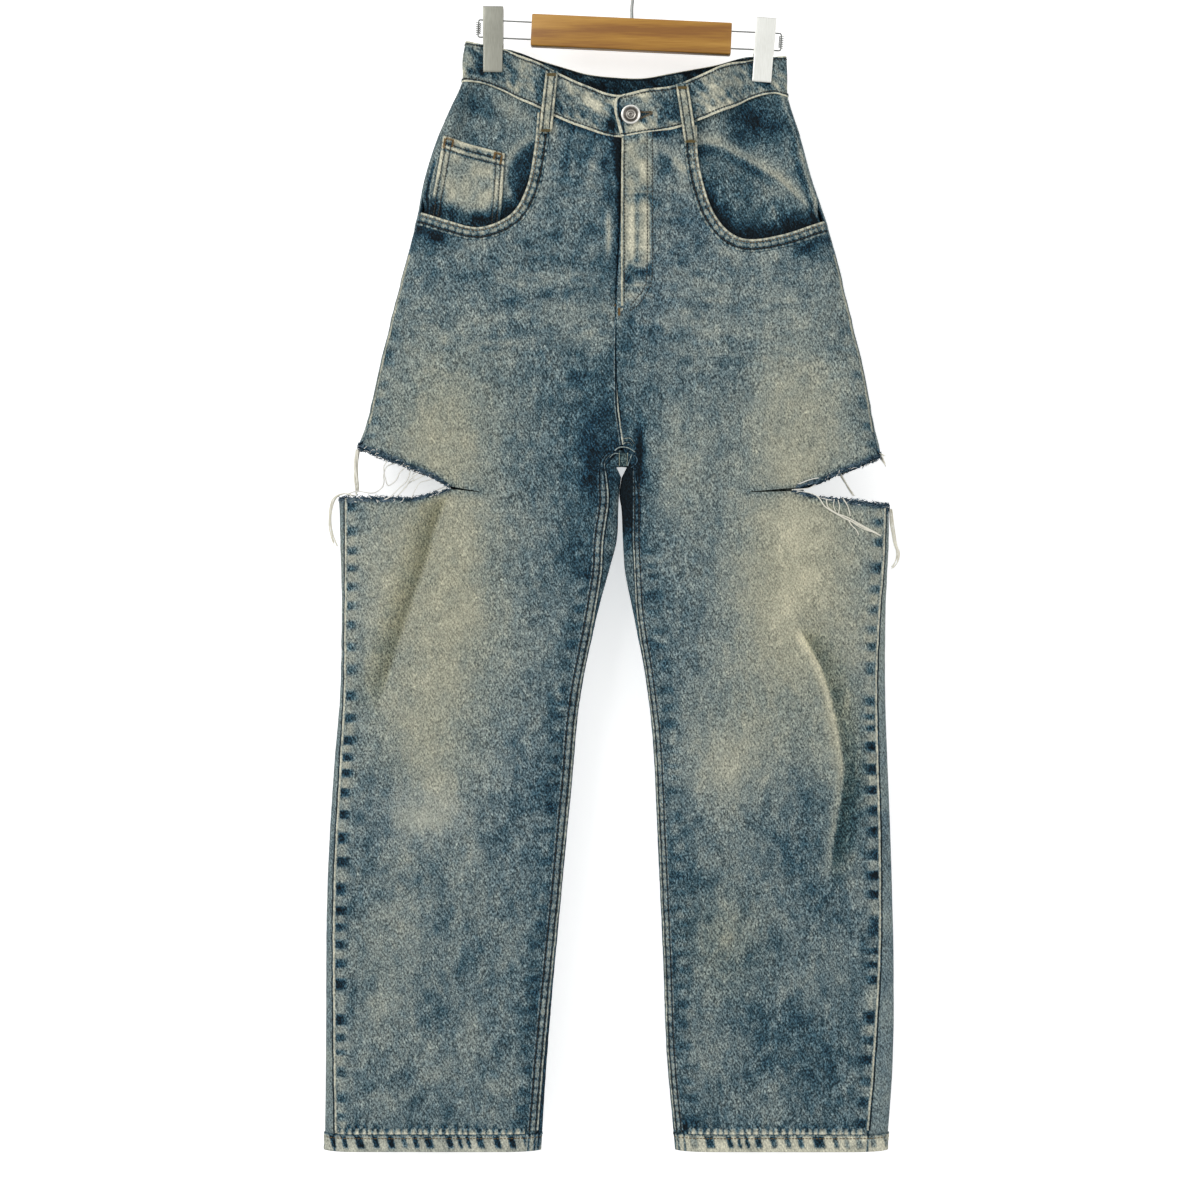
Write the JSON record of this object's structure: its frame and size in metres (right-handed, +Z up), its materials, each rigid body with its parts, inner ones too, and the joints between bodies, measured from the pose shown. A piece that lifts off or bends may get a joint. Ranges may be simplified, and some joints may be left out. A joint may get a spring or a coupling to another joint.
{
  "type": "ripped jeans on a clip hanger",
  "caption": "Straight-leg washed denim jeans with open rips at the thighs, held flat by the waistband in the steel clips of a wooden trouser hanger.",
  "frame": {"origin": "inner top of the hanger's hook, where it rests on a rail", "axes": "+Z up, +X to the wearer's left, +Y to the back of the garment"},
  "size_m": [0.5457, 0.0608, 1.1512],
  "materials": {
    "washed_denim": "stone-washed indigo denim, faded",
    "zip_tape": "woven tape",
    "cotton_yarn": "undyed cotton",
    "brass": "satin",
    "brushed_steel": "bright",
    "bamboo": "lacquered"
  },
  "bodies": {
    "root": {"back_panel_left": "washed_denim", "back_panel_right": "washed_denim", "back_pocket_left": "washed_denim", "back_pocket_right": "washed_denim", "back_yoke_left": "washed_denim", "back_yoke_right": "washed_denim", "belt_loop_back_centre": "washed_denim", "belt_loop_back_left": "washed_denim", "belt_loop_back_right": "washed_denim", "belt_loop_front_left": "washed_denim", "belt_loop_front_right": "washed_denim", "button": "brushed_steel", "clip_back_left": "brushed_steel", "clip_back_right": "brushed_steel", "clip_front_left": "brushed_steel", "clip_front_right": "brushed_steel", "clip_spring_left": "brushed_steel", "clip_spring_right": "brushed_steel", "fly_shield": "washed_denim", "front_panel_left": "washed_denim", "front_panel_right": "washed_denim", "hanger_bar": "bamboo", "hanger_hook": "brushed_steel", "hanger_wire_left": "brushed_steel", "hanger_wire_right": "brushed_steel", "hem_left": "washed_denim", "hem_right": "washed_denim", "pocket_facing_left": "washed_denim", "pocket_facing_right": "washed_denim", "waistband": "washed_denim", "watch_pocket": "washed_denim", "yarn_bundle_front_left": "cotton_yarn", "yarn_bundle_side_left": "cotton_yarn", "yarn_bundle_side_right": "cotton_yarn", "yarn_fringe_right": "cotton_yarn", "yarn_loop_right": "cotton_yarn", "yarn_strand_left": "cotton_yarn", "yarn_wisp_left": "cotton_yarn", "zip_pull_tab": "brass", "zip_slider": "brass", "zip_tape": "zip_tape"}
  },
  "joints": []
}
